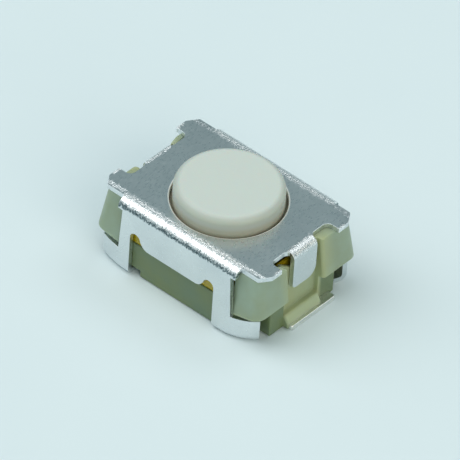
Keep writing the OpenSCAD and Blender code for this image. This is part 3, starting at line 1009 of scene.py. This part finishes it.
# Painted shade low on the side, and a painted highlight towards the rim and top
IVORY_PAINTED_SHADING = (
    (0.0, "8c8674"), (0.29, "adac9b"), (0.43, "abab9a"), (0.58, "b1b6ad"), (0.744, "b4baad"),
    (0.856, "bac0b3"), (0.938, "b9c0b7"), (0.985, "c2cac3"), (1.0, "cbd3cc"),
)
ivory, tree, shader, place = new_finish("spark_textured_ivory_plastic", {
    "IOR": 1.5, "Subsurface Weight": 0.15, "Subsurface Scale": 0.2 * MM,
})
fleck = blots(tree, place, 0.03, 2.0)
feed(tree, shader, {
    "Base Color": add(tree, "ValToRGB", {"Fac": by_place(tree, place, "Z", *IVORY_Z)}, stops=IVORY_PAINTED_SHADING),
    "Roughness": add(tree, "MapRange", {"Value": fleck, "To Min": 0.42, "To Max": 0.58}),
    "Normal": add(tree, "Bump", {"Height": fleck, "Distance": 0.002 * MM, "Strength": 0.6}),
})
print(ivory.name, "has", len(IVORY_PAINTED_SHADING), "shades from low to high")

# %% [markdown]
# The film is amber polyimide, smooth and glossy, with slow waves in it. The contacts are brass under silver,
# pale and a little warm, and the dome is bare spring steel, which is greyer.

# %% Film, contacts and dome
AMBER = ((0.3, "b29a10"), (0.7, "c6ae1c"))
SILVER, SPRING_STEEL = ((0.3, "e6e7e2"), (0.7, "f2f2ec")), ((0.3, "b4b5b1"), (0.7, "c4c5c0"))
amber, tree, shader, place = new_finish("amber_polyimide_film", {"Roughness": 0.22, "IOR": 1.6})
feed(tree, shader, {
    "Base Color": add(tree, "ValToRGB", {"Fac": blots(tree, place, 0.4)}, stops=AMBER),
    "Normal": add(tree, "Bump", {"Height": blots(tree, place, 0.3), "Distance": 0.006 * MM, "Strength": 0.4}),
})
bare_metals = []
for name, size_mm, shades, low, high in (
    ("silver_plated_brass", 0.2, SILVER, 0.22, 0.38), ("bright_spring_steel", 0.3, SPRING_STEEL, 0.2, 0.3)
):
    metal, tree, shader, place = new_finish(name, {"Metallic": 1.0})
    fleck = blots(tree, place, 0.03)
    feed(tree, shader, {
        "Base Color": add(tree, "ValToRGB", {"Fac": blots(tree, place, size_mm)}, stops=shades),
        "Roughness": add(tree, "MapRange", {"Value": fleck, "To Min": low, "To Max": high}),
    })
    bare_metals.append(metal)
silver, spring = bare_metals
print("Finishes:", [m.name for m in bpy.data.materials])

# %% [markdown]
# Each piece is shaded smooth up to 30 degrees, and weighted normals keep its flat faces flat. It is brought
# down to its real size, gets its finish, rides on its body and stands for its CAD node. The film's cap and
# the dome each get a mesh of their own.

# %% Dress every piece
SMOOTH, FLAT_WEIGHT = radians(30), 80


def finish_piece(piece, material, slot, body, *nodes):
    """Shades a piece, brings it to metres and lets it stand for its CAD nodes."""
    bpy.ops.object.select_all(action="DESELECT")
    piece.select_set(True)
    bpy.context.view_layer.objects.active = piece
    bpy.ops.object.shade_smooth_by_angle(angle=SMOOTH)
    apply_modifier(piece, "WEIGHTED_NORMAL", keep_sharp=True, weight=FLAT_WEIGHT)
    piece.scale = (MM, MM, MM)
    bpy.ops.object.transform_apply(location=True, rotation=True, scale=True)
    piece.data.materials.clear()
    piece.data.materials.append(material)
    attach(piece, body)
    if nodes:
        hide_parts(*nodes)
    print(piece.name, "has", len(piece.data.polygons), "faces")


finish_piece(cover, steel, "cover_steel", "housing", "metal_cover")
finish_piece(base, nylon, "base_plastic", "housing", "base_housing")
finish_piece(button, ivory, "button_plastic", "button", "button")
finish_piece(film, amber, "film", "housing", "sealing_film")
finish_piece(film_edge, amber, "film", "housing")
finish_piece(dome, spring, "dome_steel", "housing", "snap_dome")
for contact, node in zip(contacts, CONTACTS):
    finish_piece(contact, silver, "contact_metal", "housing", node)
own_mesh(film)
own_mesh(dome)

# %% [markdown]
# The camera looks down on a corner of the switch from 0.22 m away, through a long lens.

# %% Camera
AIM = Vector((0.06335, 0.01475, 0.9)) * MM
EYE = Vector((102.6617, -127.7028, 146.9472)) * MM
ROLL = radians(3.96525)
FOCAL_LENGTH, SENSOR, CLIP = 957.52, 36, 0.01


def turned_to(direction):
    """The turn that makes a camera or a lamp look in a direction."""
    return direction.to_track_quat("-Z", "Y")


lens = bpy.data.cameras.new("camera")
lens.lens, lens.sensor_width, lens.clip_start = FOCAL_LENGTH, SENSOR, CLIP
camera = bpy.data.objects.new("camera", lens)
bpy.context.scene.collection.objects.link(camera)
camera.location = EYE
camera.rotation_mode = "QUATERNION"
camera.rotation_quaternion = turned_to(AIM - EYE) @ Quaternion((0, 0, 1), ROLL)
bpy.context.scene.camera = camera
print("The camera is", round((EYE - AIM).length / MM), "mm away")

# %% [markdown]
# The floor is a plain pale sheet of matt card. It isn't part of the switch.

# %% Floor
FLOOR_SIZE = 0.4
bpy.ops.object.select_all(action="DESELECT")
bpy.ops.mesh.primitive_plane_add(size=FLOOR_SIZE, location=(0, 0, 0))
floor = bpy.context.object
floor.name = "floor"
card, tree, shader, place = new_finish("pale_matt_card", {"Roughness": 0.9, "Specular IOR Level": 0.2})
pale = add(tree, "ValToRGB", {"Fac": blots(tree, place, 5.0)}, stops=((0.0, "d8e5e9"), (1.0, "dde9ec")))
feed(tree, shader, {"Base Color": pale})
floor.data.materials.append(card)
print("The floor is", FLOOR_SIZE, "m wide")

# %% [markdown]
# The light is three soft boxes in a dim cool room. A long one hangs over the front left, one stands behind
# the switch and a warmer one is at its right. Metal shows what it reflects: the flat top looks at the room
# between the boxes and stays grey, while the folds look up into the boxes and turn white, and the skirts look
# down at the pale floor.

# %% Lamps and world
WHITE, WARM_WHITE = "ffffff", "fff6e8"
ROOM, ROOM_STRENGTH = "b0ced2", 0.44
world = bpy.data.worlds.new("studio")
bpy.context.scene.world = world
world.use_nodes = True
room = world.node_tree.nodes["Background"]
feed(world.node_tree, room, {"Color": colour(ROOM), "Strength": ROOM_STRENGTH})


def soft_box(name, place, size, brightness, code):
    """A lamp that looks at the switch, its width and length in metres. Its face is brightness times white."""
    light = bpy.data.lights.new(name, "AREA")
    light.shape = "RECTANGLE"
    light.size, light.size_y = size
    light.energy = brightness * pi * size[0] * size[1]
    light.color = colour(code)[:3]
    lamp = bpy.data.objects.new(name, light)
    bpy.context.scene.collection.objects.link(lamp)
    lamp.location = place
    lamp.rotation_mode = "QUATERNION"
    lamp.rotation_quaternion = turned_to(-Vector(place))
    print("Soft box", name, "is", round(lamp.location.length, 2), "m away")


soft_box("overhead", (-0.160, -0.090, 0.280), (0.24, 0.46), 2.4, WHITE)
soft_box("back", (0.036, 0.180, 0.237), (0.18, 0.14), 1.8, WHITE)
soft_box("right", (0.256, -0.096, 0.166), (0.26, 0.26), 2.1, WARM_WHITE)
bpy.context.scene.view_settings.view_transform = "Standard"
